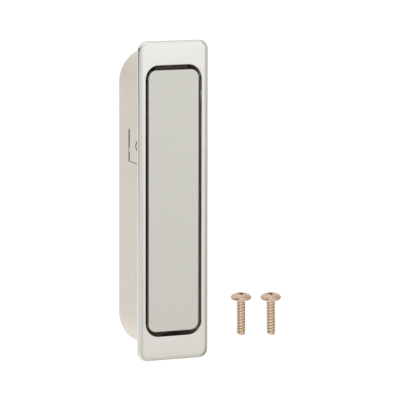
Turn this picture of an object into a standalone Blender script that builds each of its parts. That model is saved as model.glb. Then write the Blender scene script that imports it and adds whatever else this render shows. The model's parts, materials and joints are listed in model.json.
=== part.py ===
"""Flush sash lift handle: a brushed handle plate that pivots in a nickel faceplate over a deep cup.

Frame: +Z up along the faceplate, -Y out towards the hand, +X to the right seen from the front.
The origin is the centre of the cup's flat back, which rests on the bottom of the mortise.
"""
import math

import bmesh
import bpy
from mathutils import Matrix, Vector

MM = 0.001
GAP = 0.3 * MM                    # between pieces that touch in the real handle
PASS = 2.0 * MM                   # how far a cutter runs past what it cuts

# Overall
DEPTH = 27.0 * MM                 # front of the faceplate to the back of the cup
FRONT = -DEPTH                    # Y of the faceplate's front

# Faceplate
FACE_WIDTH = 37.2 * MM
FACE_LENGTH = 152.4 * MM
FACE_THICK = 1.8 * MM
FACE_CORNER = 4.5 * MM
FACE_ROLL_IN = 2.3 * MM           # the front edge rolls over this far in ...
FACE_ROLL_BACK = 0.9 * MM         # ... and this far back
SKIN = 0.9 * MM                   # what is left in front of the pocket for the cup's rim
OPENING_WIDTH = 29.65 * MM
OPENING_LENGTH = 129.3 * MM
OPENING_CORNER = 6.8 * MM
OPENING_BREAK = 0.35 * MM         # rounded front edge of the opening
SEAT = FRONT + FACE_THICK         # Y of the faceplate's back, on the face of the sash

# Cup behind the faceplate, with round ends
CUP_WIDTH = 32.0 * MM
CUP_LENGTH = 142.6 * MM
CUP_WALL = 1.0 * MM
CUP_FLOOR = 1.2 * MM
CUP_BACK_ROUND = 1.2 * MM
CUP_FLOOR_FILLET = 0.8 * MM
RIM_WIDTH = 32.9 * MM
RIM_LENGTH = 147.2 * MM
RIM_CORNER = 2.0 * MM
RIM_THICK = 0.6 * MM
FLOOR = -CUP_FLOOR                # Y of the cup floor's inside

# Handle plate and its carrier
PLATE_WIDTH = 26.85 * MM
PLATE_LENGTH = 124.8 * MM
PLATE_CORNER = 4.13 * MM
PLATE_THICK = 1.6 * MM
PLATE_BREAK = 0.35 * MM
PLATE_SKIN = 0.8 * MM             # left in front of the blind holes for the carrier's screws
CARRIER_WIDTH = 23.0 * MM
CARRIER_FRONT = FRONT + PLATE_THICK + GAP
CARRIER_WEB = 1.5 * MM
CARRIER_BOTTOM = -59.5 * MM
CARRIER_TOP = 58.5 * MM
CARRIER_CORNER = 3.0 * MM
RIB_THICK = 1.4 * MM
RIB_DEPTH = 4.7 * MM
TONGUE_WIDTH = 22.4 * MM          # it fills the gap above the plate, and follows the cup's round end
TONGUE_TOP = 67.4 * MM
TONGUE_BOTTOM = 44.8 * MM
TONGUE_FRONT = FRONT + 2.6 * MM
TONGUE_THICK = 1.6 * MM
TONGUE_CORNER = 11.0 * MM

# Pivot
PIVOT_Y = FRONT + 6.6 * MM
PIVOT_Z = 26.1 * MM
PIN_RADIUS = 1.95 * MM
PIN_HALF = CUP_WIDTH / 2 - 0.1 * MM
PIN_CHAMFER = 0.25 * MM
LUG_RADIUS = 4.2 * MM
LUG_THICK = 2.2 * MM
LUG_BORE = 3.1 * MM
BUSH_RADIUS = LUG_BORE - GAP
BUSH_BORE = PIN_RADIUS + GAP
BUSH_FLANGE = 3.6 * MM
BUSH_FLANGE_THICK = 1.7 * MM
BUSH_LENGTH = 4.2 * MM

# Pivot plates, let into windows in the cup's side walls
WINDOW_REAR = FRONT + 16.0 * MM
WINDOW_FRONT = FRONT + 3.2 * MM
WINDOW_HALF_REAR = 7.9 * MM
WINDOW_FLARE = 0.075              # how much taller each half gets per unit of depth towards the front
INSERT_REAR_GAP = 1.1 * MM
PLATE_BOSS_RADIUS = 4.4 * MM
PLATE_BOSS_THICK = 0.9 * MM
PLATE_HOLE = 2.25 * MM
NIB_DROP = 2.3 * MM
NIB_HEIGHT = 2.2 * MM
NIB_REACH = 0.6 * MM

# Torsion springs
WIRE_RADIUS = 0.35 * MM
COIL_RADIUS = 2.6 * MM
COIL_TURNS = 4
COIL_PITCH = 1.1 * MM
COIL_STEPS = 14
COIL_START = 3.3 * MM             # X of the first turn
SPRING_LEG_UP = 12.0 * MM

# Rubber stops
CLOSED_PAD = (11.0 * MM, 1.1 * MM, 2.2 * MM)      # width, thickness, height
CLOSED_PAD_TOP = 67.2 * MM
CLOSED_PAD_EDGE = 0.25 * MM
OPEN_PAD = (10.0 * MM, 3.2 * MM, 6.0 * MM)
OPEN_PAD_TOP = 60.0 * MM
OPEN_PAD_EDGE = 0.5 * MM

# Small cross-recess screws, and the rivets in the faceplate's posts
SMALL_SHANK = 0.9 * MM
SMALL_HOLE = SMALL_SHANK + GAP
SMALL_HEAD_HEIGHT = 1.2 * MM
SMALL_HEAD_EDGE = 0.5 * MM
CARRIER_SCREW_HEAD = 1.9 * MM
CARRIER_SCREW_X = 6.5 * MM
CARRIER_SCREW_Z = (44.0 * MM, -46.0 * MM)
CARRIER_SCREW_TIP = FRONT + PLATE_SKIN + GAP
SMALL_SLOT = 0.5 * MM
SMALL_SLOT_REACH = 1.15 * MM
SMALL_SLOT_DEEP = 0.65 * MM
RIVET_HEAD = 2.1 * MM
RIVET_DOME = 0.9 * MM
RIVET_TIP = FRONT + 0.8 * MM
RIVET_X = 12.6 * MM
RIVET_Z = 69.6 * MM
POST_RADIUS = 1.6 * MM
POST_SHORT = 0.1 * MM             # the posts end this far short of the faceplate's back

# Threaded inserts in the cup's floor, and the two loose screws that go into them
INSERT_Z = 48.0 * MM
INSERT_RADIUS = 3.0 * MM
INSERT_FLANGE = 4.2 * MM
INSERT_FLANGE_THICK = 0.8 * MM
INSERT_TALL = 4.5 * MM
INSERT_BORE = 2.4 * MM
INSERT_SUNK = 0.1 * MM
MOUNT_HEAD_RADIUS = 5.15 * MM
MOUNT_HEAD_HEIGHT = 2.6 * MM
MOUNT_HEAD_EDGE = 0.45 * MM
MOUNT_CREST = 2.15 * MM
MOUNT_ROOT = 1.75 * MM
MOUNT_LENGTH = 18.3 * MM
MOUNT_PITCH = 1.52 * MM
MOUNT_TIP = 1.5 * MM
MOUNT_START = 0.4                 # parts of the pitch: where the first ridge begins, and then how far
MOUNT_RISE = 0.35                 # below each ridge's beginning its crest starts ...
MOUNT_FALL = 0.5                  # ... and ends ...
MOUNT_FOOT = 0.85                 # ... and the groove below it
MOUNT_RIDGES = int((MOUNT_LENGTH - MOUNT_PITCH / 2) / MOUNT_PITCH)
MOUNT_SLOT = 1.0 * MM
MOUNT_SLOT_REACH = 2.5 * MM
MOUNT_SLOT_DEEP = 1.6 * MM
LOOSE_SCREWS = (                  # X and Z of the head, and the degrees that the shank leans
    (48.2 * MM, -52.35 * MM, 5.8), (64.7 * MM, -53.35 * MM, 6.4))
LOOSE_LIFT = 0.1 * MM             # they lie this far off the plane of the cup's back

CORNER_STEPS = 10                 # facets in a quarter turn
CUP_STEPS = 14
ROLL_STEPS = 5
BREAK_STEPS = 3
DOME_STEPS = 6
TURN_STEPS = 28                   # facets in a full turn
MOUNT_TURN_STEPS = 24
SMALL_TURN_STEPS = 20
SHARP = math.radians(32)          # edges sharper than this aren't smoothed
SEAM = 0.01 * MM                  # points nearer than this are joined where a turned piece closes

COLOURS = {                       # colour, metallic, roughness
    "polished_nickel": ((0.78, 0.77, 0.74), 1.0, 0.22),
    "satin_nickel": ((0.72, 0.69, 0.64), 1.0, 0.38),
    "brushed_nickel": ((0.66, 0.65, 0.62), 1.0, 0.34),
    "blackened_zinc": ((0.035, 0.03, 0.026), 0.6, 0.55),
    "bronze": ((0.55, 0.36, 0.22), 1.0, 0.35),
    "steel": ((0.62, 0.60, 0.57), 1.0, 0.28),
    "spring_steel": ((0.40, 0.39, 0.38), 1.0, 0.3),
    "rubber": ((0.02, 0.02, 0.02), 0.0, 0.8),
    "champagne_plate": ((0.72, 0.56, 0.42), 1.0, 0.25),
}


def clear_scene():
    for item in list(bpy.data.objects):
        bpy.data.objects.remove(item)


def collection(name):
    made = bpy.data.collections.new(name)
    bpy.context.scene.collection.children.link(made)
    return made


def finish_material(name):
    made = bpy.data.materials.get(name)
    if made:
        return made
    colour, metallic, roughness = COLOURS[name]
    made = bpy.data.materials.new(name)
    made.use_nodes = True
    shader = made.node_tree.nodes["Principled BSDF"]
    shader.inputs["Base Color"].default_value = (*colour, 1.0)
    shader.inputs["Metallic"].default_value = metallic
    shader.inputs["Roughness"].default_value = roughness
    return made


def show(name, mesh, finish):
    """A piece of the handle: an object in the part's own collection, smooth where it is round."""
    mesh.shade_smooth()
    mesh.set_sharp_from_angle(angle=SHARP)
    if finish:
        mesh.materials.clear()
        mesh.materials.append(finish_material(finish))
    made = bpy.data.objects.new(name, mesh)
    PART.objects.link(made)
    return made


def tool(made):
    """Marks an object as a cutter or guide, which isn't part of the handle."""
    for holder in list(made.users_collection):
        holder.objects.unlink(made)
    TOOLS.objects.link(made)
    made.hide_render = True
    made.display_type = "WIRE"
    return made


def combine(target, guide, operation):
    step = target.modifiers.new(f"{operation.lower()} {guide.name}", "BOOLEAN")
    step.operation = operation
    step.solver = "EXACT"
    step.object = tool(guide)


def hang(made, pivot):
    """Parents a piece to the pivot's empty, leaving it where it is."""
    made.parent = pivot
    made.matrix_parent_inverse = Matrix.Translation(-pivot.location)


def rounded(width, length, radius, steps=CORNER_STEPS):
    """Outline of a rectangle with round corners, anticlockwise, as (across, up) points."""
    centre_x = width / 2 - radius
    centre_z = length / 2 - radius
    points = []
    for side_x, side_z, start in ((1, 1, 0), (-1, 1, 90), (-1, -1, 180), (1, -1, 270)):
        for step in range(steps + 1):
            angle = math.radians(start + 90 * step / steps)
            points.append((side_x * centre_x + radius * math.cos(angle),
                           side_z * centre_z + radius * math.sin(angle)))
    return points


def ring(width, length, radius, y, steps=CORNER_STEPS):
    return [Vector((x, y, z)) for x, z in rounded(width, length, radius, steps)]


def inset_ring(width, length, radius, inset, y, steps=CORNER_STEPS):
    """The same outline with its edge moved in by inset, at depth y."""
    return ring(width - 2 * inset, length - 2 * inset, radius - inset, y, steps)


def skin_mesh(name, rings, closed=False):
    """A closed mesh over rings of equally many points: end caps, or the last ring joined to the first."""
    mesh = bpy.data.meshes.new(name)
    shell = bmesh.new()
    loops = [[shell.verts.new(point) for point in each] for each in rings]
    pairs = list(zip(loops, loops[1:]))
    if closed:
        pairs.append((loops[-1], loops[0]))
    else:
        shell.faces.new(loops[0])
        shell.faces.new(loops[-1])
    for near, far in pairs:
        for index, corner in enumerate(near):
            following = (index + 1) % len(near)
            shell.faces.new((corner, near[following], far[following], far[index]))
    bmesh.ops.recalc_face_normals(shell, faces=shell.faces)
    shell.to_mesh(mesh)
    shell.free()
    return mesh


def slab(name, outline, start, end, finish=None, axis="Y"):
    """An outline extruded along Y, or along X when its points are (depth, up)."""
    if axis == "Y":
        rings = [[Vector((a, depth, b)) for a, b in outline] for depth in (start, end)]
    else:
        rings = [[Vector((across, a, b)) for a, b in outline] for across in (start, end)]
    return show(name, skin_mesh(name, rings), finish)


def shifted(outline, along, up):
    return [(a + along, b + up) for a, b in outline]


def block(name, low, high, finish=None, edge=0.0):
    """A box between two corners, with rounded edges when edge is given."""
    mesh = bpy.data.meshes.new(name)
    shell = bmesh.new()
    bmesh.ops.create_cube(shell, size=1.0)
    size = Vector(high) - Vector(low)
    bmesh.ops.scale(shell, vec=size, verts=shell.verts)
    bmesh.ops.translate(shell, vec=(Vector(high) + Vector(low)) / 2, verts=shell.verts)
    shell.to_mesh(mesh)
    shell.free()
    made = show(name, mesh, finish)
    if edge:
        bevel = made.modifiers.new("rounded edges", "BEVEL")
        bevel.width = edge
        bevel.segments = BREAK_STEPS
    return made


def cylinder(name, radius, start, end, steps=TURN_STEPS):
    """A round bar from one point to another."""
    axis = Vector(end) - Vector(start)
    mesh = bpy.data.meshes.new(name)
    shell = bmesh.new()
    bmesh.ops.create_cone(shell, cap_ends=True, segments=steps, radius1=radius, radius2=radius,
                          depth=axis.length)
    shell.to_mesh(mesh)
    shell.free()
    made = show(name, mesh, None)
    made.location = (Vector(start) + Vector(end)) / 2
    made.rotation_euler = axis.to_track_quat("Z", "Y").to_euler()
    return made


def turned(name, profile, finish, steps=TURN_STEPS, closed=False):
    """A (radius, height) profile turned about Z; its outer side runs from top to bottom."""
    mesh = bpy.data.meshes.new(name)
    count = len(profile)
    edges = [(index, index + 1) for index in range(count - 1)]
    if closed:
        edges.append((count - 1, 0))
    mesh.from_pydata([(radius, 0, height) for radius, height in profile], edges, [])
    made = bpy.data.objects.new(name, mesh)
    PART.objects.link(made)
    screw = made.modifiers.new("turn", "SCREW")
    screw.steps = steps
    screw.render_steps = steps
    screw.use_merge_vertices = True
    screw.merge_threshold = SEAM
    mesh.materials.append(finish_material(finish))
    return made


def baked(made, name):
    """The evaluated mesh of an object, which is then removed."""
    depsgraph = bpy.context.evaluated_depsgraph_get()
    mesh = bpy.data.meshes.new_from_object(made.evaluated_get(depsgraph))
    mesh.name = name
    guides = [step.object for step in made.modifiers if step.type == "BOOLEAN"]
    for each in [made] + guides:
        bpy.data.objects.remove(each)
    return mesh


def aim(made, place, direction):
    """Moves an object so that its own origin is at place and its +Z points along direction."""
    made.location = place
    made.rotation_euler = Vector(direction).to_track_quat("Z", "Y").to_euler()
    return made


def quarter(steps):
    return [math.radians(90 * step / steps) for step in range(steps + 1)]


def cut_cross(made, top, reach, width, depth):
    """A cross recess in the top of a screw's head."""
    for name, half_x, half_y in (("recess_a", reach, width / 2), ("recess_b", width / 2, reach)):
        low = (-half_x, -half_y, top - depth)
        high = (half_x, half_y, top + PASS)
        combine(made, block(f"{made.name}_{name}", low, high), "DIFFERENCE")


def make_faceplate():
    """Frame with a rolled front edge; its back has a pocket for the cup's rim, with four posts in it."""
    face = (FACE_WIDTH, FACE_LENGTH, FACE_CORNER)
    opening = (OPENING_WIDTH, OPENING_LENGTH, OPENING_CORNER)
    pocket = (RIM_WIDTH + 2 * GAP, RIM_LENGTH + 2 * GAP, RIM_CORNER + GAP)
    rings = [ring(*face, SEAT)]
    for angle in quarter(ROLL_STEPS):
        inset = FACE_ROLL_IN * (1 - math.cos(angle))
        depth = FRONT + FACE_ROLL_BACK * (1 - math.sin(angle))
        rings.append(inset_ring(*face, inset, depth))
    for angle in quarter(BREAK_STEPS):
        grow = OPENING_BREAK * (1 - math.sin(angle))
        depth = FRONT + OPENING_BREAK * (1 - math.cos(angle))
        rings.append(inset_ring(*opening, -grow, depth))
    rings.append(ring(*opening, FRONT + SKIN))
    rings.append(ring(*pocket, FRONT + SKIN))
    rings.append(ring(*pocket, SEAT))
    plate = show("faceplate", skin_mesh("faceplate", rings, closed=True), "polished_nickel")
    for index, (x, z) in enumerate(rivet_places(), 1):
        skin_y = FRONT + SKIN
        post = cylinder(f"post_{index}", POST_RADIUS, (x, skin_y - GAP, z), (x, SEAT - POST_SHORT, z))
        combine(plate, post, "UNION")
    for index, (x, z) in enumerate(rivet_places(), 1):
        hole = cylinder(f"post_hole_{index}", SMALL_HOLE, (x, RIVET_TIP - GAP, z), (x, SEAT + PASS, z))
        combine(plate, hole, "DIFFERENCE")


def rivet_places():
    return [(x, z) for z in (RIVET_Z, -RIVET_Z) for x in (-RIVET_X, RIVET_X)]


def window_outline(shrink, rear_gap):
    """Trapezoid of a window or the plate in it, taller towards the front, as (depth, up) points."""
    rear = WINDOW_REAR - rear_gap
    front = WINDOW_FRONT + shrink
    half_rear = WINDOW_HALF_REAR + WINDOW_FLARE * (WINDOW_REAR - rear) - shrink
    half_front = WINDOW_HALF_REAR + WINDOW_FLARE * (WINDOW_REAR - front) - shrink
    return [(rear, PIVOT_Z - half_rear), (rear, PIVOT_Z + half_rear),
            (front, PIVOT_Z + half_front), (front, PIVOT_Z - half_front)]


def make_housing():
    """Drawn cup with round ends, a thin rim, windows for the pivot plates and holes for two inserts."""
    outer = (CUP_WIDTH, CUP_LENGTH, CUP_WIDTH / 2)
    bore = (CUP_WIDTH - 2 * CUP_WALL, CUP_LENGTH - 2 * CUP_WALL, CUP_WIDTH / 2 - CUP_WALL)
    rings = []
    for angle in quarter(ROLL_STEPS):
        inset = CUP_BACK_ROUND * (1 - math.sin(angle))
        depth = -CUP_BACK_ROUND * (1 - math.cos(angle))
        rings.append(inset_ring(*outer, inset, depth, CUP_STEPS))
    rings.append(ring(*outer, SEAT, CUP_STEPS))
    rings.append(ring(RIM_WIDTH, RIM_LENGTH, RIM_CORNER, SEAT, CUP_STEPS))
    rings.append(ring(RIM_WIDTH, RIM_LENGTH, RIM_CORNER, SEAT - RIM_THICK, CUP_STEPS))
    rings.append(ring(*bore, SEAT - RIM_THICK, CUP_STEPS))
    for angle in quarter(BREAK_STEPS):
        inset = CUP_FLOOR_FILLET * (1 - math.cos(angle))
        depth = FLOOR - CUP_FLOOR_FILLET * (1 - math.sin(angle))
        rings.append(inset_ring(*bore, inset, depth, CUP_STEPS))
    cup = show("housing", skin_mesh("housing", rings), "satin_nickel")
    reach = CUP_WIDTH / 2 + PASS
    combine(cup, slab("window_cutter", window_outline(0, 0), -reach, reach, axis="X"), "DIFFERENCE")
    for index, z in enumerate((INSERT_Z, -INSERT_Z), 1):
        hole = cylinder(f"insert_hole_{index}", INSERT_RADIUS + GAP, (0, -INSERT_TALL, z), (0, PASS, z))
        combine(cup, hole, "DIFFERENCE")
    for index, (x, z) in enumerate(rivet_places(), 1):
        start = (x, SEAT - RIM_THICK - PASS, z)
        hole = cylinder(f"rim_hole_{index}", POST_RADIUS + GAP, start, (x, SEAT + PASS, z))
        combine(cup, hole, "DIFFERENCE")


def make_pivot_plate(name, side):
    """Trapezoid flush with the cup's side, with a boss inside it, a nib at its rear and the pin's hole."""
    outside = side * CUP_WIDTH / 2
    wall_inside = CUP_WIDTH / 2 - CUP_WALL
    boss_out = side * (wall_inside - GAP)
    boss_in = side * (wall_inside - GAP - PLATE_BOSS_THICK)
    outline = window_outline(GAP, INSERT_REAR_GAP)
    inner = side * (wall_inside - GAP - PLATE_BOSS_THICK / 2)
    plate = slab(name, outline, inner, outside, "satin_nickel", axis="X")
    boss_start = (boss_in, PIVOT_Y, PIVOT_Z)
    boss_end = (boss_out, PIVOT_Y, PIVOT_Z)
    combine(plate, cylinder(f"{name}_boss", PLATE_BOSS_RADIUS, boss_start, boss_end), "UNION")
    rear = outline[0][0]
    nib_mid = PIVOT_Z - NIB_DROP
    nib_low = (min(inner, outside), rear - NIB_REACH, nib_mid - NIB_HEIGHT / 2)
    nib_high = (max(inner, outside), rear + NIB_REACH, nib_mid + NIB_HEIGHT / 2)
    combine(plate, block(f"{name}_nib", nib_low, nib_high), "UNION")
    past = side * (CUP_WIDTH / 2 + PASS)
    near = side * (wall_inside - PASS)
    hole = cylinder(f"{name}_hole", PLATE_HOLE, (near, PIVOT_Y, PIVOT_Z), (past, PIVOT_Y, PIVOT_Z))
    combine(plate, hole, "DIFFERENCE")


def make_pivot_pin():
    profile = [(0, PIN_HALF), (PIN_RADIUS - PIN_CHAMFER, PIN_HALF), (PIN_RADIUS, PIN_HALF - PIN_CHAMFER),
               (PIN_RADIUS, PIN_CHAMFER - PIN_HALF), (PIN_RADIUS - PIN_CHAMFER, -PIN_HALF), (0, -PIN_HALF)]
    pin = turned("pivot_pin", profile, "bronze")
    aim(pin, (0, PIVOT_Y, PIVOT_Z), (1, 0, 0))


def make_handle_plate(pivot):
    """Brushed plate that fills the faceplate's opening, with blind holes for the carrier's screws."""
    plate_size = (PLATE_WIDTH, PLATE_LENGTH, PLATE_CORNER)
    rings = [ring(*plate_size, FRONT + PLATE_THICK)]
    for angle in quarter(BREAK_STEPS):
        inset = PLATE_BREAK * (1 - math.cos(angle))
        depth = FRONT + PLATE_BREAK * (1 - math.sin(angle))
        rings.append(inset_ring(*plate_size, inset, depth))
    plate = show("handle_plate", skin_mesh("handle_plate", rings), "brushed_nickel")
    hang(plate, pivot)
    for index, (x, z) in enumerate(carrier_screw_places(), 1):
        back = FRONT + PLATE_THICK + PASS
        hole = cylinder(f"plate_hole_{index}", SMALL_HOLE, (x, FRONT + PLATE_SKIN, z), (x, back, z))
        combine(plate, hole, "DIFFERENCE")
        hang(hole, pivot)


def carrier_screw_places():
    return [(x, z) for z in CARRIER_SCREW_Z for x in (-CARRIER_SCREW_X, CARRIER_SCREW_X)]


def make_handle_carrier(pivot):
    """Casting behind the plate: a web, two side ribs and a finger lip, pivot lugs and a stop tongue."""
    web_back = CARRIER_FRONT + CARRIER_WEB
    rib_back = CARRIER_FRONT + RIB_DEPTH
    length = CARRIER_TOP - CARRIER_BOTTOM
    middle = (CARRIER_TOP + CARRIER_BOTTOM) / 2
    outline = shifted(rounded(CARRIER_WIDTH, length, CARRIER_CORNER), 0, middle)
    carrier = slab("handle_carrier", outline, CARRIER_FRONT, web_back, "blackened_zinc")
    half = CARRIER_WIDTH / 2
    rib_front = CARRIER_FRONT + CARRIER_WEB / 2
    guides = []
    for side, name in ((-1, "left"), (1, "right")):
        edges = sorted((side * half, side * (half - RIB_THICK)))
        low = (edges[0], rib_front, CARRIER_BOTTOM + CARRIER_CORNER)
        high = (edges[1], rib_back, PIVOT_Z)
        guides.append(block(f"rib_{name}", low, high))
        lug_outer = (side * half, PIVOT_Y, PIVOT_Z)
        lug_inner = (side * (half - LUG_THICK), PIVOT_Y, PIVOT_Z)
        guides.append(cylinder(f"lug_{name}", LUG_RADIUS, lug_inner, lug_outer))
    lip_low = (CARRIER_CORNER - half, rib_front, CARRIER_BOTTOM)
    lip_high = (half - CARRIER_CORNER, rib_back, CARRIER_BOTTOM + RIB_THICK)
    guides.append(block("finger_lip", lip_low, lip_high))
    tongue_length = TONGUE_TOP - TONGUE_BOTTOM
    tongue_middle = (TONGUE_TOP + TONGUE_BOTTOM) / 2
    tongue_shape = shifted(rounded(TONGUE_WIDTH, tongue_length, TONGUE_CORNER), 0, tongue_middle)
    guides.append(slab("tongue", tongue_shape, TONGUE_FRONT, TONGUE_FRONT + TONGUE_THICK))
    for guide in guides:
        combine(carrier, guide, "UNION")
        hang(guide, pivot)
    reach = half + PASS
    cutters = [cylinder("lug_bore", LUG_BORE, (-reach, PIVOT_Y, PIVOT_Z), (reach, PIVOT_Y, PIVOT_Z))]
    for index, (x, z) in enumerate(carrier_screw_places(), 1):
        start = (x, CARRIER_FRONT - PASS, z)
        cutters.append(cylinder(f"carrier_hole_{index}", SMALL_HOLE, start, (x, web_back + PASS, z)))
    for cutter in cutters:
        combine(carrier, cutter, "DIFFERENCE")
        hang(cutter, pivot)
    hang(carrier, pivot)


def make_pivot_bush(name, side, pivot):
    """Flanged bush in a carrier lug; the flange is on the outer side, against the pivot plate."""
    profile = [(BUSH_BORE, 0), (BUSH_FLANGE, 0), (BUSH_FLANGE, -BUSH_FLANGE_THICK),
               (BUSH_RADIUS, -BUSH_FLANGE_THICK), (BUSH_RADIUS, -BUSH_LENGTH), (BUSH_BORE, -BUSH_LENGTH)]
    bush = turned(name, profile, "steel", closed=True)
    outer = CARRIER_WIDTH / 2 + GAP + BUSH_FLANGE_THICK
    aim(bush, (side * outer, PIVOT_Y, PIVOT_Z), (side, 0, 0))
    bush.parent = pivot
    bush.location = (side * outer, 0, 0)


def make_torsion_spring(name, side):
    """Coil round the pin: one leg stands on the cup's floor, the other lies up the back of the carrier."""
    points = [Vector((side * COIL_START, FLOOR - GAP, PIVOT_Z - COIL_RADIUS))]
    total = 90 + 360 * COIL_TURNS
    count = int(total / 360 * COIL_STEPS)
    for step in range(count + 1):
        turned_by = total * step / count
        angle = math.radians(-90 - turned_by)
        x = side * (COIL_START + COIL_PITCH * turned_by / 360)
        points.append(Vector((x, PIVOT_Y + COIL_RADIUS * math.cos(angle),
                              PIVOT_Z + COIL_RADIUS * math.sin(angle))))
    points.append(points[-1] + Vector((0, 0, SPRING_LEG_UP)))
    wire = bpy.data.curves.new(name, "CURVE")
    wire.dimensions = "3D"
    wire.bevel_depth = WIRE_RADIUS
    wire.bevel_resolution = 2
    wire.use_fill_caps = True
    line = wire.splines.new("POLY")
    line.points.add(len(points) - 1)
    for knot, place in zip(line.points, points):
        knot.co = (*place, 1)
    wire.materials.append(finish_material("spring_steel"))
    PART.objects.link(bpy.data.objects.new(name, wire))


def make_stops(pivot):
    """Rubber pads: one closes the tongue against the faceplate, one stands on the cup's floor."""
    width, thick, height = CLOSED_PAD
    back = TONGUE_FRONT - GAP
    low = (-width / 2, back - thick, CLOSED_PAD_TOP - height)
    high = (width / 2, back, CLOSED_PAD_TOP)
    hang(block("closed_stop_pad", low, high, "rubber", CLOSED_PAD_EDGE), pivot)
    width, thick, height = OPEN_PAD
    back = FLOOR - GAP
    low = (-width / 2, back - thick, OPEN_PAD_TOP - height)
    high = (width / 2, back, OPEN_PAD_TOP)
    block("open_stop_pad", low, high, "rubber", OPEN_PAD_EDGE)


def domed_head(radius, height, edge):
    """Profile of a head from its crown to the rim of its underside: a dome on a straight edge."""
    dome = height - edge
    profile = [(radius * math.sin(angle), edge + dome * math.cos(angle)) for angle in quarter(DOME_STEPS)]
    if edge:
        profile.append((radius, 0))
    return profile


def small_screw_mesh(name, head_radius, length):
    """Round-head screw with a cross recess; its origin is under the head, and it points down -Z."""
    profile = domed_head(head_radius, SMALL_HEAD_HEIGHT, SMALL_HEAD_EDGE)
    profile += [(SMALL_SHANK, 0), (SMALL_SHANK, GAP - length), (SMALL_SHANK - GAP, -length), (0, -length)]
    made = turned(name, profile, "steel", SMALL_TURN_STEPS)
    cut_cross(made, SMALL_HEAD_HEIGHT, SMALL_SLOT_REACH, SMALL_SLOT, SMALL_SLOT_DEEP)
    return baked(made, name)


def make_carrier_screws(pivot):
    """Four screws hold the plate on the carrier."""
    under_head = CARRIER_FRONT + CARRIER_WEB + GAP
    mesh = small_screw_mesh("carrier_screw", CARRIER_SCREW_HEAD, under_head - CARRIER_SCREW_TIP)
    for index, (x, z) in enumerate(carrier_screw_places(), 1):
        screw = show(f"carrier_screw_{index}", mesh, None)
        aim(screw, (x, under_head, z), (0, 1, 0))
        screw.parent = pivot
        screw.location = Vector((x, under_head, z)) - pivot.location


def make_faceplate_rivets():
    """Four domed rivets hold the cup's rim on the faceplate's posts."""
    under_head = SEAT + GAP
    length = under_head - RIVET_TIP
    profile = domed_head(RIVET_HEAD, RIVET_DOME, 0)
    profile += [(SMALL_SHANK, 0), (SMALL_SHANK, -length), (0, -length)]
    for index, (x, z) in enumerate(rivet_places(), 1):
        rivet = turned(f"faceplate_rivet_{index}", profile, "steel", SMALL_TURN_STEPS)
        aim(rivet, (x, under_head, z), (0, 1, 0))


def make_mounting_inserts():
    """Flanged nuts pressed into the cup's floor from inside; their bores take the mounting screws."""
    seat = CUP_FLOOR + GAP - INSERT_SUNK
    tall = INSERT_TALL - INSERT_SUNK
    profile = [(INSERT_BORE, tall), (INSERT_RADIUS, tall), (INSERT_RADIUS, seat + INSERT_FLANGE_THICK),
               (INSERT_FLANGE, seat + INSERT_FLANGE_THICK), (INSERT_FLANGE, seat), (INSERT_RADIUS, seat),
               (INSERT_RADIUS, 0), (INSERT_BORE, 0)]
    for index, z in enumerate((INSERT_Z, -INSERT_Z), 1):
        insert = turned(f"mounting_insert_{index}", profile, "steel", closed=True)
        aim(insert, (0, -INSERT_SUNK, z), (0, -1, 0))


def mounting_screw_profile():
    """Truss head, then a blunt shank whose thread stands up in ridges one pitch apart."""
    profile = domed_head(MOUNT_HEAD_RADIUS, MOUNT_HEAD_HEIGHT, MOUNT_HEAD_EDGE) + [(MOUNT_ROOT, 0)]
    for index in range(MOUNT_RIDGES):
        top = -MOUNT_PITCH * (index + MOUNT_START)
        profile += [(MOUNT_ROOT, top), (MOUNT_CREST, top - MOUNT_RISE * MOUNT_PITCH),
                    (MOUNT_CREST, top - MOUNT_FALL * MOUNT_PITCH),
                    (MOUNT_ROOT, top - MOUNT_FOOT * MOUNT_PITCH)]
    profile += [(MOUNT_TIP, -MOUNT_LENGTH), (0, -MOUNT_LENGTH)]
    return profile


def make_mounting_screws():
    """The two loose screws, lying on the plane of the cup's back on the head's rim and the thread."""
    made = turned("mounting_screw", mounting_screw_profile(), "champagne_plate", MOUNT_TURN_STEPS)
    cut_cross(made, MOUNT_HEAD_HEIGHT, MOUNT_SLOT_REACH, MOUNT_SLOT, MOUNT_SLOT_DEEP)
    mesh = baked(made, "mounting_screw")
    last_ridge = MOUNT_PITCH * MOUNT_RIDGES
    tilt = math.atan((MOUNT_HEAD_RADIUS - MOUNT_CREST) / last_ridge)
    height = MOUNT_HEAD_RADIUS * math.cos(tilt) + LOOSE_LIFT
    for index, (x, z, degrees) in enumerate(LOOSE_SCREWS, 1):
        turn = math.radians(degrees)
        along = (-math.sin(turn) * math.cos(tilt), -math.sin(tilt), math.cos(turn) * math.cos(tilt))
        aim(show(f"mounting_screw_{index}", mesh, None), (x, -height, z), along)


def build():
    pivot = bpy.data.objects.new("handle_pivot", None)
    pivot.location = (0, PIVOT_Y, PIVOT_Z)
    PART.objects.link(pivot)
    make_faceplate()
    make_housing()
    make_handle_plate(pivot)
    make_handle_carrier(pivot)
    make_pivot_pin()
    for side, name in ((-1, "left"), (1, "right")):
        make_pivot_plate(f"pivot_plate_{name}", side)
        make_pivot_bush(f"pivot_bush_{name}", side, pivot)
        make_torsion_spring(f"torsion_spring_{name}", side)
    make_stops(pivot)
    make_carrier_screws(pivot)
    make_faceplate_rivets()
    make_mounting_inserts()
    make_mounting_screws()


clear_scene()
PART = collection("sash_lift_handle")
TOOLS = collection("cutters")
build()
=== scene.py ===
"""Looks of the flush sash lift handle: polished and brushed nickel, a dark casting, bronze-toned screws."""
import json
import math

import bmesh
import bpy
from mathutils import Matrix, Vector


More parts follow.
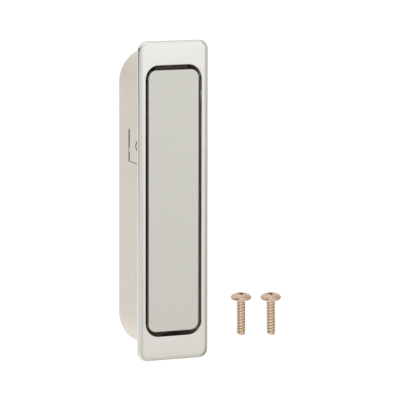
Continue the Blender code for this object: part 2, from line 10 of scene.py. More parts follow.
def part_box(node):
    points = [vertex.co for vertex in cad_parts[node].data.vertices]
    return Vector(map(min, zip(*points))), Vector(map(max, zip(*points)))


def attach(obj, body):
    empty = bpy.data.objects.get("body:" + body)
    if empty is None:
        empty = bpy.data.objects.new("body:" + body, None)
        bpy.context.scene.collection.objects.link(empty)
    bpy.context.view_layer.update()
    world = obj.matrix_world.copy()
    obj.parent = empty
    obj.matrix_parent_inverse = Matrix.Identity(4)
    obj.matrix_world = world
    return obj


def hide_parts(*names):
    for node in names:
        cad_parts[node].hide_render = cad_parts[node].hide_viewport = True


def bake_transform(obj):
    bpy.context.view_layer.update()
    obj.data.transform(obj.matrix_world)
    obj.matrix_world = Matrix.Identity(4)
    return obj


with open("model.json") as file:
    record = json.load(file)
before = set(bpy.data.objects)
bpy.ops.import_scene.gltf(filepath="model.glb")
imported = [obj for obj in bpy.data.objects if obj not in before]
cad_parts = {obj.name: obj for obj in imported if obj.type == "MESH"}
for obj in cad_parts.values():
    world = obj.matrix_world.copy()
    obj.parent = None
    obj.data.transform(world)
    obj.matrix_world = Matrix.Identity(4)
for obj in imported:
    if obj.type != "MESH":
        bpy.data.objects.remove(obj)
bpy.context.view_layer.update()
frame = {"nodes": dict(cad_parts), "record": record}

MM = 0.001

# Camera: where it stands round the handle, and what it looks at
CAMERA_AZIMUTH = math.radians(27.82)      # towards -X
CAMERA_ELEVATION = math.radians(6.25)
CAMERA_ROLL = math.radians(0.10)
CAMERA_DISTANCE = 1.890
CAMERA_LENS = 356.5
CAMERA_TARGET = Vector((15.0 * MM, -25.2 * MM, -0.5 * MM))

# Studio. An azimuth is in degrees from the front towards +X, a height in degrees above the horizon.
FLOOR_Z = -0.35
FLOOR_SIZE = 60.0
FLOOR_GLOW = 0.35
FRONT_LIGHT = (                           # height, brightness, tint
    (-90, 1.00, (1.0, 0.97, 0.89)), (-60, 0.95, (1.0, 0.97, 0.89)), (-45, 0.83, (1.0, 0.96, 0.86)),
    (-31, 0.78, (1.0, 0.96, 0.86)), (-19, 0.74, (1.0, 0.965, 0.87)), (-9, 0.79, (1.0, 0.985, 0.93)),
    (-6, 0.88, (1.0, 0.99, 0.94)), (-4.2, 1.02, (1.0, 0.995, 0.965)), (7, 1.03, (1.0, 0.995, 0.97)),
    (33, 0.93, (1.0, 0.995, 0.97)), (50, 0.92, (1.0, 1.0, 0.95)), (90, 1.02, (1.0, 1.0, 0.97)))
BACK_LIGHT = (
    (-90, 1.00, (1.0, 0.96, 0.89)), (-34, 1.06, (1.0, 0.96, 0.89)), (-8.5, 1.00, (1.0, 0.975, 0.93)),
    (-7.2, 0.91, (1.0, 0.985, 0.955)), (-4.5, 0.875, (1.0, 0.98, 0.945)), (20, 0.82, (1.0, 0.97, 0.93)),
    (45, 0.90, (1.0, 0.98, 0.95)), (90, 1.02, (1.0, 1.0, 0.97)))
BACK_BEGINS = (78, 112)                   # azimuths, to either side, over which the light behind takes over
ROUND_LIGHT = (                           # azimuth, brightness
    (-180, 0.99), (-120, 0.95), (-8, 0.95), (6, 0.82), (14, 0.81), (21, 0.86), (25.5, 0.98), (29, 1.0),
    (31, 0.97), (40, 0.66), (53, 0.58), (71, 0.58), (96, 0.73), (122, 0.83), (150, 1.0), (180, 1.0))
PEAK = 1.08                               # the brightest part of the studio
ROOM_DARK = (                             # azimuths, heights and depth of its dark parts; below 0 is a glow
    ((-118, 2), (-6.8, 30), 0.15), ((-126, -44), (-6.3, 22), 0.50), ((-124, -6), (-4.1, 24), 0.65),
    ((-126, -42), (-4.2, 22), 0.70), ((-58, -16), (-48, -15), -0.50), ((-140, -78), (-34, -13), 0.50),
    ((48, 112), (-46, -15), 0.35))
DARK_SIDE = 7.0                           # half the width, in degrees, of their fading edges: at the sides,
DARK_EDGE = 0.5                           # below,
DARK_TOP = 6.0                            # and above
LIGHTS = {                                # place, width, power, and whether it shows in metal
    "soft_top": ((0.5, -0.9, 1.3), 1.2, 0.8, True),
    "front_fill": ((-0.8, -1.5, 0.2), 0.5, 0.9, False),
}

# Facets and their shading
JOIN = 0.002 * MM                         # points of a CAD node nearer than this are one,
MESH_JOIN = 0.0005 * MM                   # and points of a mesh made here nearer than this
CAD_SHARP = math.radians(33)              # edges sharper than these aren't smoothed
CUP_SHARP = math.radians(35)
SCREW_SHARP = math.radians(50)
FLAT_WEIGHT = 60                          # how much a large face counts at its corners

# Cup: its walls and edges, as thick as the CAD node's
CUP_LENGTH = 142.6 * MM
CUP_WALL = 1.0 * MM
CUP_FLOOR = 1.2 * MM
CUP_BACK_ROUND = 1.2 * MM
CUP_FILLET = 0.8 * MM
CUP_RIM = (32.9 * MM, 147.2 * MM, 2.0 * MM)      # width, length, corner
CUP_RIM_THICK = 0.6 * MM
CUP_STEPS = 36                            # facets in each quarter of the outline,
BACK_STEPS = 6                            # of the back's round edge,
FILLET_STEPS = 4                          # and of the fillet round the floor
SKIN_DEPTH = 0.07 * MM                    # the pivot plates' faces deeper in than this are painted dark as shade in their slot; only the outer faces are satin
WINDOW_SEAM = 0.03 * MM                   # the pivot plates' upper edges fit this closely,
WINDOW_GAP = 0.3 * MM                     # and their lower edges this closely
WINDOW_SLOT = 1.1 * MM                    # the slot behind them
WINDOW_HALF_REAR = 7.9 * MM
WINDOW_FRONT = -23.8 * MM                 # Y of the window's end behind the faceplate
NIB_REACH = 0.6 * MM                      # how far the plates' nibs reach into the slot
INSERTS = ("mounting_insert_1", "mounting_insert_2")
INSERT_HOLE = 3.3 * MM                    # radius of the inserts' holes in the floor
INSERT_CUT = 4.8 * MM                     # how far in from the back they are cut
RIVETS = ("faceplate_rivet_1", "faceplate_rivet_2", "faceplate_rivet_3", "faceplate_rivet_4")
RIM_HOLE = 1.9 * MM                       # radius of the holes for the faceplate's posts
BAR_SIDES = 40

# Loose screws: the helix that stands for the CAD node's rings
SCREW_SIDES = 48
THREAD_ROWS = 16                          # rings of points in each turn of the thread
THREAD_GROOVE = 0.27                      # half the groove's width, in parts of the pitch
SCREW_CREST = 2.15 * MM
SCREW_ROOT = 1.84 * MM
SCREW_PITCH = 1.52 * MM
SCREW_LENGTH = 18.3 * MM
SCREW_TIP_ROUND = 0.75 * MM
SCREW_LIFT = 0.1 * MM                     # they lie this far off the plane of the cup's back
SCREW_SPIN = math.radians(20)
SCREW_HEAD = 5.15 * MM
SCREW_HEAD_HEIGHT = 2.6 * MM
SCREW_HEAD_EDGE = 0.60 * MM
HEAD_STEPS = 16                           # facets in each quarter of the head's profile
HEAD_HIGHLIGHT_BAND = (0.40 * MM, 1.00 * MM)        # the head's lower edge is painted pale as a highlight up to here, fading out by here
RECESS_REACH = 2.4 * MM
RECESS_WIDTH = 0.95 * MM
RECESS_DEPTH = 1.5 * MM
RECESS_TAPER = 0.55                       # how large the cross is at the bottom
RECESS_PASS = 1.0 * MM                    # how far its cutter stands out of the head
SCREW_PLACES = {                          # X and Z of the head in mm, degrees that the shank leans
    "mounting_screw_1": (48.2, -52.35, 5.8),
    "mounting_screw_2": (64.7, -53.35, 6.4),
}


class Nodes:
    """A node tree, with the few kinds of node that the finishes and the studio are made from."""

    def __init__(self, owner):
        owner.use_nodes = True
        self.owner = owner
        self.tree = owner.node_tree

    def feed(self, value, socket):
        """Links a socket to another one, or sets its value."""
        if isinstance(value, bpy.types.NodeSocket):
            self.tree.links.new(value, socket)
        else:
            socket.default_value = value

    def make(self, kind, inputs=None, **settings):
        """Adds a node with these inputs, which are values or other nodes' sockets."""
        node = self.tree.nodes.new(kind)
        for key, value in settings.items():
            setattr(node, key, value)
        for key, value in (inputs or {}).items():
            self.feed(value, node.inputs[key])
        return node

    def maths(self, operation, *values):
        return self.make("ShaderNodeMath", dict(enumerate(values)), operation=operation).outputs[0]

    def axes(self, kind):
        """X, Y and Z of a texture coordinate."""
        vector = self.make("ShaderNodeTexCoord").outputs[kind]
        return self.make("ShaderNodeSeparateXYZ", {"Vector": vector}).outputs

    def noise(self, scale, detail, roughness=0.55):
        """Noise in object coordinates, with a scale along each axis."""
        where = self.make("ShaderNodeTexCoord").outputs["Object"]
        place = self.make("ShaderNodeMapping", {"Vector": where, "Scale": scale}).outputs[0]
        inputs = {"Vector": place, "Scale": 1.0, "Detail": detail, "Roughness": roughness}
        return self.make("ShaderNodeTexNoise", inputs).outputs["Fac"]

    def between(self, value, low, high, start=0.3, end=0.7, curve="LINEAR"):
        """Goes from low to high as the value goes from start to end."""
        inputs = {"Value": value, "From Min": start, "From Max": end, "To Min": low, "To Max": high}
        return self.make("ShaderNodeMapRange", inputs, interpolation_type=curve).outputs["Result"]

    def mix(self, factor, first, second, mode="MIX"):
        inputs = {0: factor, 6: first, 7: second}
        return self.make("ShaderNodeMix", inputs, data_type="RGBA", blend_type=mode).outputs[2]

    def bands(self, value, stops):
        """Colour by a value from 0 to 1, through stops of (value, colour)."""
        node = self.make("ShaderNodeValToRGB", {0: value})
        elements = node.color_ramp.elements
        while len(elements) < len(stops):
            elements.new(0.5)
        for element, (place, colour) in zip(elements, stops):
            element.position = place
            element.color = (*colour, 1.0)
        return node.outputs[0]

    def bump(self, height, depth, strength=1.0, normal=None):
        inputs = {"Height": height, "Distance": depth, "Strength": strength}
        if normal:
            inputs["Normal"] = normal
        return self.make("ShaderNodeBump", inputs).outputs[0]

    def shade(self, **sockets):
        """Sets the shader's sockets, and gives the finished material."""
        shader = self.tree.nodes["Principled BSDF"]
        for key, value in sockets.items():
            self.feed(value, shader.inputs[key.replace("_", " ")])
        return self.owner


def finish_nodes(name):
    return Nodes(bpy.data.materials.new(name))


def rgb(red, green, blue):
    return (red, green, blue, 1.0)


def plated(name, colour, tarnish, roughness, spread=0.05):
    """Plated metal: a fine grain in its gloss, faint scuffs, and large soft patches of tarnish."""
    nodes = finish_nodes(name)
    fine = nodes.noise((900, 900, 900), 6.0)
    cloud = nodes.noise((55, 55, 55), 3.0)
    scuffs = nodes.noise((2600, 2600, 160), 2.0)
    patched = nodes.mix(nodes.between(cloud, 0.0, 1.0), colour, tarnish)
    gloss = nodes.between(fine, roughness - spread, roughness + spread)
    relief = nodes.bump(scuffs, 0.006 * MM)
    relief = nodes.bump(fine, 0.006 * MM, 0.6, relief)
    return nodes.shade(Base_Color=patched, Metallic=1.0, Roughness=gloss, Normal=relief)


def unpolished_shaded_metal(name, colour, stain):
    """Unpolished sheet inside the cup, darker than the satin outside as painted shade, with soft stains."""
    nodes = finish_nodes(name)
    cloud = nodes.noise((140, 140, 140), 4.0)
    grain = nodes.noise((1800, 1800, 1800), 3.0)
    stained = nodes.mix(nodes.between(cloud, 0.0, 1.0), colour, stain)
    gloss = nodes.between(grain, 0.5, 0.7)
    relief = nodes.bump(grain, 0.02 * MM)
    return nodes.shade(Base_Color=stained, Metallic=0.25, Roughness=gloss, Normal=relief)


def satin(name, shell):
    """Satin nickel on the outer face only: what is nearer the middle than the shell is painted dark, as
    shade in the slot.
    """
    nodes = finish_nodes(name)
    fine = nodes.noise((700, 700, 120), 6.0)
    cloud = nodes.noise((55, 55, 55), 3.0)
    speck = nodes.noise((300, 300, 300), 2.0)
    colour = nodes.mix(nodes.between(cloud, 0.0, 1.0), rgb(0.80, 0.765, 0.70), rgb(0.775, 0.735, 0.665))
    # painted shade: faces nearer the middle than the shell take this near-black, speckled colour
    shade_inside_colour = nodes.mix(nodes.between(speck, 0.0, 1.0), rgb(0.10, 0.085, 0.07), rgb(0.16, 0.14, 0.115))
    half_width = nodes.maths("ABSOLUTE", nodes.axes("Object")[0])
    outside = nodes.maths("GREATER_THAN", half_width, shell)
    shown = nodes.mix(outside, shade_inside_colour, colour)
    gloss = nodes.between(fine, 0.27, 0.39)
    relief = nodes.bump(fine, 0.010 * MM)
    return nodes.shade(Base_Color=shown, Metallic=1.0, Roughness=gloss, Normal=relief)


def brushed_plate():
    """Nickel brushed lengthwise: long fine streaks in its colour, gloss and relief. Its edges are matt."""
    nodes = finish_nodes("brushed_nickel_streaks")
    streaks = nodes.noise((5200, 5200, 16), 5.0, 0.7)
    broad = nodes.noise((900, 900, 5), 3.0)
    cloud = nodes.noise((40, 40, 22), 2.0)
    fine = nodes.between(streaks, 0.0, 1.0, 0.25, 0.75)
    bright = nodes.mix(fine, rgb(0.71, 0.708, 0.68), rgb(0.84, 0.838, 0.81))
    shaded = nodes.mix(nodes.between(broad, 0.0, 0.35), bright, rgb(0.77, 0.76, 0.72))
    patched = nodes.mix(nodes.between(cloud, 0.0, 0.4), shaded, rgb(0.80, 0.795, 0.76))
    relief = nodes.bump(streaks, 0.010 * MM)
    relief = nodes.bump(broad, 0.008 * MM, 0.5, relief)
    facing = nodes.maths("ABSOLUTE", nodes.axes("Normal")[1])
    face = nodes.between(facing, 0.0, 1.0, 0.6, 0.9)
    gloss = nodes.between(face, 0.62, nodes.between(streaks, 0.20, 0.30), 0.0, 1.0)
    return nodes.shade(Base_Color=patched, Metallic=1.0, Roughness=gloss, Normal=relief)


def champagne():
    """Warm plate on the loose screws: brown painted shade in the thread's grooves, and a pale band painted
    round the head's lower edge as a highlight.
    """
    nodes = finish_nodes("champagne_plate_finish")
    cloud = nodes.noise((420, 420, 420), 3.0)
    fine = nodes.noise((2500, 2500, 2500), 3.0)
    patch = nodes.between(cloud, 0.0, 1.0)
    across, deep, up = nodes.axes("Object")
    squares = [nodes.maths("POWER", side, 2.0) for side in (across, deep)]
    radius = nodes.maths("SQRT", nodes.maths("ADD", *squares))
    # painted shade: the thread's grooves are brown, fading to the plate colour at the crests
    clear_of_groove_shade = nodes.between(radius, 0.0, 1.0, SCREW_ROOT + 0.05 * MM, SCREW_CREST - 0.06 * MM)
    plate = nodes.mix(patch, rgb(0.90, 0.755, 0.60), rgb(0.80, 0.64, 0.51))
    shank = nodes.mix(clear_of_groove_shade, rgb(0.50, 0.36, 0.25), plate)
    capped = nodes.mix(patch, rgb(0.80, 0.62, 0.44), rgb(0.60, 0.44, 0.35))
    # painted highlight: a pale band round the head's lower edge
    capped = nodes.mix(nodes.between(up, 1.0, 0.0, *HEAD_HIGHLIGHT_BAND), capped, rgb(0.97, 0.89, 0.78))
    colour = nodes.mix(nodes.between(up, 0.0, 1.0, -0.1 * MM, 0.0), shank, capped)
    gloss = nodes.between(fine, 0.13, 0.22)
    relief = nodes.bump(cloud, 0.01 * MM)
    return nodes.shade(Base_Color=colour, Metallic=1.0, Roughness=gloss, Normal=relief)


def rough_casting():
    """Blackened zinc: an orange-peel skin whose gloss varies with its relief."""
    nodes = finish_nodes("blackened_casting")
    peel = nodes.noise((1500, 1500, 1500), 4.0)
    cloud = nodes.noise((180, 180, 180), 3.0)
    colour = nodes.mix(nodes.between(cloud, 0.0, 1.0), rgb(0.055, 0.046, 0.035), rgb(0.088, 0.075, 0.058))
    gloss = nodes.between(peel, 0.42, 0.6)
    return nodes.shade(Base_Color=colour, Metallic=0.4, Roughness=gloss, Normal=nodes.bump(peel, 0.05 * MM))


def moulded_rubber():
    """Matt rubber with a fine grain and a little dust."""
    nodes = finish_nodes("moulded_rubber")
    grain = nodes.noise((2500, 2500, 2500), 3.0)
    dust = nodes.noise((400, 400, 400), 2.0)
    colour = nodes.mix(nodes.between(dust, 0.0, 1.0), rgb(0.012, 0.012, 0.012), rgb(0.03, 0.029, 0.027))
    gloss = nodes.between(grain, 0.65, 0.85)
    return nodes.shade(Base_Color=colour, Roughness=gloss, Normal=nodes.bump(grain, 0.03 * MM))


def materials():
    """Every finish, by the name of its material slot or of its part of the cup or screw."""
    polished = rgb(0.87, 0.867, 0.85)
    plate_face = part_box("pivot_plate_right")[1][0]
    return {
        "polished_nickel": plated("polished_nickel_plate", polished, rgb(0.85, 0.845, 0.82), 0.11, 0.03),
        "satin_nickel": satin("satin_nickel_plate", plate_face - SKIN_DEPTH),
        "satin_cup": satin("satin_cup_outside", 0.0),
        # painted shade: the inside of the cup is darker than the satin outside
        "cup_inside_shade": unpolished_shaded_metal("cup_inside_painted_shade", rgb(0.72, 0.66, 0.57), rgb(0.60, 0.54, 0.46)),
        # painted shade: the windows' cut edges are near-black, because the slot lies in shade
        "cut_edge": plated("cut_edge_painted_shade", rgb(0.030, 0.022, 0.016), rgb(0.05, 0.038, 0.028), 0.5),
        # painted shade: the cross recess in the head is dark brown
        "recess": plated("recess_painted_shade", rgb(0.16, 0.08, 0.05), rgb(0.10, 0.05, 0.035), 0.4),
        "brushed_nickel": brushed_plate(),
        "blackened_zinc": rough_casting(),
        "bronze": plated("plain_bronze", rgb(0.86, 0.66, 0.48), rgb(0.74, 0.53, 0.37), 0.28),
        "steel": plated("zinc_plated_steel", rgb(0.66, 0.65, 0.62), rgb(0.58, 0.56, 0.50), 0.30),
        "spring_steel": plated("drawn_spring_steel", rgb(0.42, 0.41, 0.39), rgb(0.33, 0.31, 0.28), 0.28),
        "rubber": moulded_rubber(),
        "champagne_plate": champagne(),
    }


def dress_frame(finishes):
    """Gives each CAD node its finish, and the smooth shading of its round faces."""
    slots = {entry["node"]: entry["material_slot"] for entry in frame["record"]["subparts"]}
    for name, piece in frame["nodes"].items():
        piece.data.materials.clear()
        piece.data.materials.append(finishes[slots[name]])
        piece.data.polygons.foreach_set("use_smooth", [True] * len(piece.data.polygons))
        piece.modifiers.new("join facets", "WELD").merge_threshold = JOIN
        piece.modifiers.new("keep edges", "EDGE_SPLIT").split_angle = CAD_SHARP
        piece.modifiers.new("flat faces stay flat", "WEIGHTED_NORMAL").weight = FLAT_WEIGHT


def loose(name, mesh):
    made = bpy.data.objects.new(name, mesh)
    bpy.context.scene.collection.objects.link(made)
    return made


def link(name, mesh, finish):
    piece = loose(name, mesh)
    mesh.materials.append(finish)
    return piece


def loop_points(width, length, corner, y):
    """A rectangle with round corners at depth y, anticlockwise from the right."""
    points = []
    for across, up, start in ((1, 1, 0), (-1, 1, 1), (-1, -1, 2), (1, -1, 3)):
        for step in range(CUP_STEPS + 1):
            angle = math.pi / 2 * (start + step / CUP_STEPS)
            points.append(Vector((across * (width / 2 - corner) + corner * math.cos(angle), y,
                                  up * (length / 2 - corner) + corner * math.sin(angle))))
    return points


def skin(name, rings):
    """A closed mesh over rings of equally many points, capped at both ends."""
    mesh = bpy.data.meshes.new(name)
    shell = bmesh.new()
    loops = [[shell.verts.new(point) for point in ring] for ring in rings]
    shell.faces.new(loops[0])
    shell.faces.new(loops[-1])
    for near, far in zip(loops, loops[1:]):
        for index, corner in enumerate(near):
            after = (index + 1) % len(near)
            shell.faces.new((corner, near[after], far[after], far[index]))
    bmesh.ops.remove_doubles(shell, verts=shell.verts, dist=MESH_JOIN)
    bmesh.ops.recalc_face_normals(shell, faces=shell.faces)
    shell.to_mesh(mesh)
    shell.free()
    return mesh


def cut(target, tools):
    """The mesh of target with the tools taken away; the target's and the tools' objects are removed."""
    for each in tools:
        step = target.modifiers.new(each.name, "BOOLEAN")
        step.operation = "DIFFERENCE"
        step.solver = "EXACT"
        step.material_mode = "TRANSFER"
        step.object = each
    bpy.context.view_layer.update()
    shape = bpy.data.meshes.new_from_object(target.evaluated_get(bpy.context.evaluated_depsgraph_get()))
    for each in [target] + tools:
        bpy.data.objects.remove(each)
    return shape


def bar(name, radius, x, z, low, high):
    """A round bar along Y."""
    angles = [2 * math.pi * step / BAR_SIDES for step in range(BAR_SIDES)]
    rings = [[Vector((x + radius * math.cos(angle), y, z + radius * math.sin(angle))) for angle in angles]
             for y in (low, high)]
    return loose(name, skin(name, rings))


def round_box(width, length, y):
    """The outline of a flat with round ends."""
    return loop_points(width, length, width / 2, y)


def cup_rings(width, rim_front):
    """Outlines of the cup, from its back over the outside to the rim, and down the inside to its floor."""
    rim_back = rim_front + CUP_RIM_THICK
    rings = []
    for step in range(BACK_STEPS + 1):
        angle = math.pi / 2 * step / BACK_STEPS
        inset = 2 * CUP_BACK_ROUND * (1 - math.sin(angle))
        rings.append(round_box(width - inset, CUP_LENGTH - inset, -CUP_BACK_ROUND * (1 - math.cos(angle))))
    rings.append(round_box(width, CUP_LENGTH, rim_back))
    rings += [loop_points(*CUP_RIM, y) for y in (rim_back, rim_front)]
    bore = width - 2 * CUP_WALL
    bore_length = CUP_LENGTH - 2 * CUP_WALL
    rings.append(round_box(bore, bore_length, rim_front))
    for step in range(FILLET_STEPS + 1):
        angle = math.pi / 2 * step / FILLET_STEPS
        inset = 2 * CUP_FILLET * (1 - math.cos(angle))
        y = -CUP_FLOOR - CUP_FILLET * (1 - math.sin(angle))
        rings.append(round_box(bore - inset, bore_length - inset, y))
    return rings


def window_cutter(plate_low, plate_high, reach):
    """Cuts both pivot plates' windows: the plate's outline, and the slot behind it."""
    rear = plate_high.y - NIB_REACH + WINDOW_SLOT
    middle = (plate_low.z + plate_high.z) / 2
    half_front = (plate_high.z - plate_low.z) / 2 + WINDOW_GAP
    seam = WINDOW_GAP - WINDOW_SEAM
    outline = [(rear, middle - WINDOW_HALF_REAR), (rear, middle + WINDOW_HALF_REAR - seam),
               (WINDOW_FRONT, middle + half_front - seam), (WINDOW_FRONT, middle - half_front)]
    rings = [[Vector((x, y, z)) for y, z in outline] for x in (-reach, reach)]
    return loose("window", skin("window", rings))


def hole_cutters(rim_front):
    """Cut the holes for the inserts in the floor and for the faceplate's posts in the rim."""
    through_rim = (rim_front - CUP_FLOOR, rim_front + CUP_RIM_THICK + CUP_FLOOR)
    tools = []
    for name in INSERTS + RIVETS:
        low, high = (Vector(corner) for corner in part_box(name))
        centre = (low + high) / 2
        if name in INSERTS:
            tools.append(bar(name, INSERT_HOLE, 0, centre.z, -INSERT_CUT, CUP_FLOOR))
        else:
            tools.append(bar(name, RIM_HOLE, centre.x, centre.z, *through_rim))
    return tools


def finish_cup(mesh, finishes, width, middle):
    """Satin outside; inside, a darker unpolished finish that is partly painted shade; and the cut edges of
    the windows, whose middle is at this Z, painted near-black as shade.
    """
    for name in ("cup_inside_shade", "cut_edge"):
        mesh.materials.append(finishes[name])
    bare, cut_edge = 1, 2
    straight = CUP_LENGTH / 2 - width / 2
    for face in mesh.polygons:
        centre = face.center
        out = math.hypot(centre.x, max(0.0, abs(centre.z) - straight))
        in_window = abs(centre.z - middle) < 2 * WINDOW_HALF_REAR and abs(face.normal.x) < 0.5
        # painted shade: the window's cut faces in the slot take the near-black finish
        if in_window and width / 2 - CUP_WALL < out < width / 2 - WINDOW_SEAM:
            face.material_index = cut_edge
        # painted shade: faces inside the cup take the darker inside finish
        elif out < width / 2 - CUP_WALL / 2 and centre.y < -CUP_FLOOR / 2:
            face.material_index = bare


def make_cup(finishes):
    """The drawn cup with round ends, in finer facets than the CAD node."""
    rim_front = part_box("housing")[0][1]
    plate_low, plate_high = (Vector(corner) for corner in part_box("pivot_plate_right"))
    width = 2 * plate_high.x
    cup = loose("cup_blank", skin("cup_blank", cup_rings(width, rim_front)))
    mesh = cut(cup, [window_cutter(plate_low, plate_high, width)] + hole_cutters(rim_front))
    mesh.materials.clear()
    piece = link("drawn_cup", mesh, finishes["satin_cup"])
    finish_cup(mesh, finishes, width, (plate_low.z + plate_high.z) / 2)
    mesh.shade_smooth()
    mesh.set_sharp_from_angle(angle=CUP_SHARP)
    piece.modifiers.new("flat faces stay flat", "WEIGHTED_NORMAL").keep_sharp = True
    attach(piece, "body")
    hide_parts("housing")


def turned_ring(height, radii):
    """A ring round Z, with one radius for each of its points."""
    ring = []
    for side, radius in enumerate(radii):
        angle = 2 * math.pi * side / SCREW_SIDES
        ring.append(Vector((radius * math.cos(angle), radius * math.sin(angle), height)))
    return ring


def shank_radius(down, side):
    """One groove winds down the shank, from under the head to the rounded tip."""
    bare = max(0.0, 1 - 2 * down / SCREW_PITCH)
    phase = (down / SCREW_PITCH + side / SCREW_SIDES) % 1.0
    groove = max(0.0, 1 - abs(phase - 0.5) / THREAD_GROOVE)
    to_tip = max(0.0, 1 - (SCREW_LENGTH - down) / SCREW_TIP_ROUND)
    nose = SCREW_TIP_ROUND * (1 - math.sqrt(1 - to_tip ** 2))
    radius = SCREW_CREST - (SCREW_CREST - SCREW_ROOT) * max(bare, groove)
    return max(SCREW_ROOT - SCREW_TIP_ROUND, radius - nose)


def screw_rings():
    """Rings of points from the tip up the thread, and over the truss head."""
    rows = int(SCREW_LENGTH / SCREW_PITCH * THREAD_ROWS)
    rings = []
    for row in range(rows, -1, -1):
        down = SCREW_LENGTH * row / rows
        rings.append(turned_ring(-down, [shank_radius(down, side) for side in range(SCREW_SIDES)]))
    quarter = [math.pi / 2 * step / HEAD_STEPS for step in range(HEAD_STEPS)]
    seat = SCREW_HEAD - SCREW_HEAD_EDGE
    dome = SCREW_HEAD_HEIGHT - SCREW_HEAD_EDGE
    profile = [(seat + SCREW_HEAD_EDGE * math.sin(angle), SCREW_HEAD_EDGE * (1 - math.cos(angle)))
               for angle in quarter]
    profile += [(SCREW_HEAD * math.cos(angle), SCREW_HEAD_EDGE + dome * math.sin(angle))
                for angle in quarter]
    return rings + [turned_ring(height, [radius] * SCREW_SIDES) for radius, height in profile]


def recess_rings():
    """The outline of a cross above the head, and the smaller one at the bottom of its recess."""
    half = RECESS_WIDTH / 2
    outline = []
    for quarter in range(4):
        turn = Matrix.Rotation(quarter * math.pi / 2, 2)
        for corner in ((half, -half), (RECESS_REACH, -half), (RECESS_REACH, half)):
            outline.append(turn @ Vector(corner))
    low = SCREW_HEAD_HEIGHT - RECESS_DEPTH
    return [[Vector((size * point.x, size * point.y, height)) for point in outline]
            for size, height in ((1.0, SCREW_HEAD_HEIGHT + RECESS_PASS), (RECESS_TAPER, low))]


def make_loose_screws(finishes):
    """The two loose screws, each lying on the rim of its head and the last crest of its thread."""
    blank = skin("screw_blank", screw_rings())
    blank.materials.append(finishes["champagne_plate"])
    tool = skin("recess_cutter", recess_rings())
    tool.materials.append(finishes["recess"])
    shape = cut(loose("screw_blank", blank), [loose("recess_cutter", tool)])
    shape.shade_smooth()
    shape.set_sharp_from_angle(angle=SCREW_SHARP)
    last_crest = SCREW_PITCH * int(SCREW_LENGTH / SCREW_PITCH - 0.5)
    tilt = math.atan((SCREW_HEAD - SCREW_CREST) / last_crest)
    rise = SCREW_HEAD * math.cos(tilt) + SCREW_LIFT
    for name, (x, z, lean) in SCREW_PLACES.items():
        turn = math.radians(lean)
        along = Vector((-math.sin(turn) * math.cos(tilt), -math.sin(tilt), math.cos(turn) * math.cos(tilt)))
        facing = along.to_track_quat("Z", "Y").to_matrix().to_4x4()
        spin = Matrix.Rotation(SCREW_SPIN, 4, "Z")
        piece = loose(f"{name}_threaded", shape.copy())
        piece.matrix_world = Matrix.Translation((x * MM, -rise, z * MM)) @ facing @ spin
        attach(piece, "body")
        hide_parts(name)


def make_springs(finishes):
    """Each spring is a copy of its CAD node's mesh in spring steel, shown in place of the node."""
    for node in ("torsion_spring_left", "torsion_spring_right"):
        mesh = frame["nodes"][node].data.copy()
        mesh.materials.clear()
        piece = link(f"coiled_{node}", mesh, finishes["spring_steel"])
        piece.modifiers.new("join facets", "WELD").merge_threshold = JOIN
        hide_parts(node)
        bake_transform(piece)


def make_floor():
    """A pale floor that doesn't show in the metal, which reflects the studio instead."""
    bpy.ops.mesh.primitive_plane_add(size=FLOOR_SIZE, location=(0, 0, FLOOR_Z))
    floor = bpy.context.object
    floor.name = "floor"
    floor.visible_glossy = False
    floor.visible_diffuse = False
    floor.data.materials.append(finish_nodes("pale_floor").shade(
        Base_Color=rgb(0.95, 0.95, 0.945), Roughness=0.9,
        Emission_Color=rgb(1, 1, 1), Emission_Strength=FLOOR_GLOW))


def dark_patch(nodes, azimuth, height, patch):
    """What one dark part of the room takes from the light, by direction."""
    (left, right), (lowest, highest), depth = patch
    edges = ((azimuth, left, DARK_SIDE, 0.0), (azimuth, right, DARK_SIDE, 1.0),
             (height, lowest, DARK_EDGE, 0.0), (height, highest, DARK_TOP, 1.0))
    taken = depth
    for value, edge, fade, before in edges:
        part = nodes.between(value, before, 1.0 - before, edge - fade, edge + fade, "SMOOTHSTEP")
        taken = nodes.maths("MULTIPLY", part, taken)
    return taken


def tinted(stops):
    """Stops of a ramp over the heights from -90 to 90 degrees."""
    return [((height + 90) / 180, [bright * part / PEAK for part in tint]) for height, bright, tint in stops]


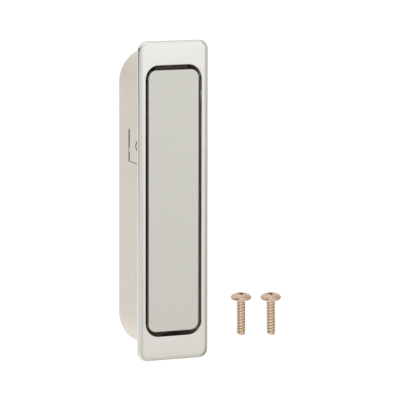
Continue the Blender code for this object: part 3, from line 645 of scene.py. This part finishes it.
def make_world():
    """A bright studio whose light changes with height and azimuth. The camera sees it as plain white."""
    world = bpy.data.worlds.new("studio")
    bpy.context.scene.world = world
    nodes = Nodes(world)
    nodes.tree.nodes.clear()
    x, y, z = nodes.axes("Generated")
    height = nodes.maths("MULTIPLY", nodes.maths("ARCSINE", z), 180 / math.pi)
    turn = nodes.maths("ARCTAN2", x, nodes.maths("MULTIPLY", y, -1.0))
    azimuth = nodes.maths("MULTIPLY", turn, 180 / math.pi)

    level = nodes.maths("DIVIDE", nodes.maths("ADD", height, 90.0), 180.0)
    front, back = (nodes.bands(level, tinted(stops)) for stops in (FRONT_LIGHT, BACK_LIGHT))
    aside = nodes.maths("ABSOLUTE", azimuth)
    by_height = nodes.mix(nodes.between(aside, 0.0, 1.0, *BACK_BEGINS, "SMOOTHSTEP"), front, back)
    bearing = nodes.maths("DIVIDE", nodes.maths("ADD", azimuth, 180.0), 360.0)
    stops = [((degrees + 180) / 360, [bright] * 3) for degrees, bright in ROUND_LIGHT]
    by_side = nodes.bands(bearing, stops)
    strength = PEAK
    for patch in ROOM_DARK:
        left_over = nodes.maths("SUBTRACT", 1.0, dark_patch(nodes, azimuth, height, patch))
        strength = nodes.maths("MULTIPLY", left_over, strength)

    light = nodes.mix(1.0, by_height, by_side, "MULTIPLY")
    studio = nodes.make("ShaderNodeBackground", {"Color": light, "Strength": strength})
    white = nodes.make("ShaderNodeBackground", {"Color": rgb(1, 1, 1), "Strength": PEAK})
    seen = nodes.make("ShaderNodeLightPath").outputs["Is Camera Ray"]
    pick = nodes.make("ShaderNodeMixShader", {0: seen, 1: studio.outputs[0], 2: white.outputs[0]})
    nodes.make("ShaderNodeOutputWorld", {"Surface": pick.outputs[0]})


def make_lights():
    """A soft light that lifts the tops of the edges, and a weak one for the matt parts in the gaps."""
    for name, (place, width, power, in_metal) in LIGHTS.items():
        data = bpy.data.lights.new(name, "AREA")
        data.size = width
        data.energy = power
        light = bpy.data.objects.new(name, data)
        light.location = place
        light.rotation_euler = (-light.location).to_track_quat("-Z", "Y").to_euler()
        light.visible_camera = False
        light.visible_glossy = in_metal
        bpy.context.scene.collection.objects.link(light)


def make_camera():
    """Looks at the handle from its left and a little above."""
    data = bpy.data.cameras.new("photo_camera")
    data.lens = CAMERA_LENS
    data.clip_end = 100
    data.dof.use_dof = False
    camera = bpy.data.objects.new("photo_camera", data)
    flat = math.cos(CAMERA_ELEVATION)
    ahead = Vector((math.sin(CAMERA_AZIMUTH) * flat, math.cos(CAMERA_AZIMUTH) * flat,
                    -math.sin(CAMERA_ELEVATION)))
    right = Vector((math.cos(CAMERA_AZIMUTH), -math.sin(CAMERA_AZIMUTH), 0))
    up = right.cross(ahead)
    roll = Matrix.Rotation(-CAMERA_ROLL, 3, ahead)
    turn = Matrix((roll @ right, roll @ up, -ahead)).transposed().to_4x4()
    camera.matrix_world = Matrix.Translation(CAMERA_TARGET - ahead * CAMERA_DISTANCE) @ turn
    bpy.context.scene.collection.objects.link(camera)
    bpy.context.scene.camera = camera
    bpy.context.scene.view_settings.view_transform = "Standard"


finishes = materials()
dress_frame(finishes)
make_cup(finishes)
make_loose_screws(finishes)
make_springs(finishes)
make_floor()
make_world()
make_lights()
make_camera()
bpy.context.view_layer.update()
